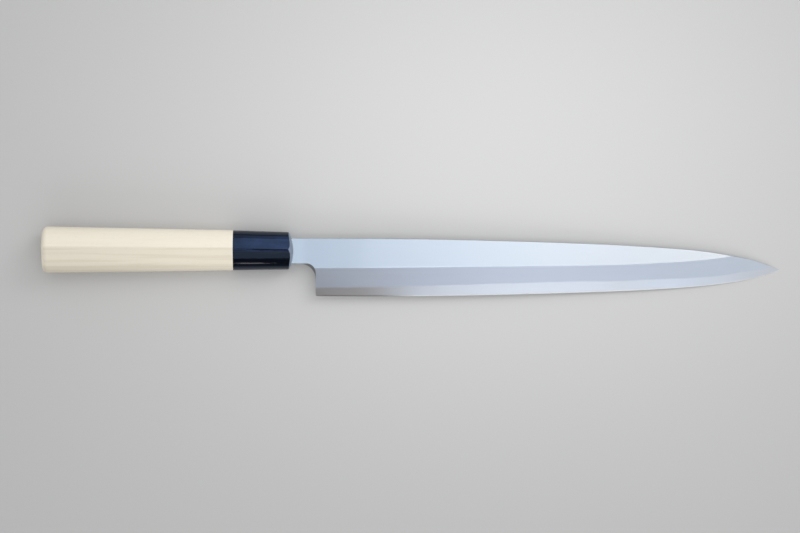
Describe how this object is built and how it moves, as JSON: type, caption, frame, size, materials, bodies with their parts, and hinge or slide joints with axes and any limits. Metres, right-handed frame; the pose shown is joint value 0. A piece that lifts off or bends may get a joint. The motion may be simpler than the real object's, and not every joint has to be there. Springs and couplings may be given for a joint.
{
  "type": "yanagiba knife",
  "caption": "Long narrow single-bevel slicing knife with a layered steel blade, hollow-ground back, horn ferrule and ridged oval wood handle.",
  "frame": {"origin": "on the handle's axis at the top of the ferrule's domed front, where the blade comes out, in the plane of the blade's flat back", "axes": "+X along the blade to the tip, +Y towards the spine, +Z out of the bevelled side"},
  "size_m": [0.4277, 0.0403, 0.0226],
  "materials": {
    "soft_iron": "fine lengthwise satin",
    "hard_steel": "bright fine satin",
    "pale_wood": "smooth, unvarnished",
    "black_horn": "polished",
    "resin": "set, dull"
  },
  "bodies": {
    "root": {"soft_iron_body": "soft_iron", "hard_steel_layer": "hard_steel", "wood_handle": "pale_wood", "horn_ferrule": "black_horn", "mouth_resin": "resin"}
  },
  "joints": []
}
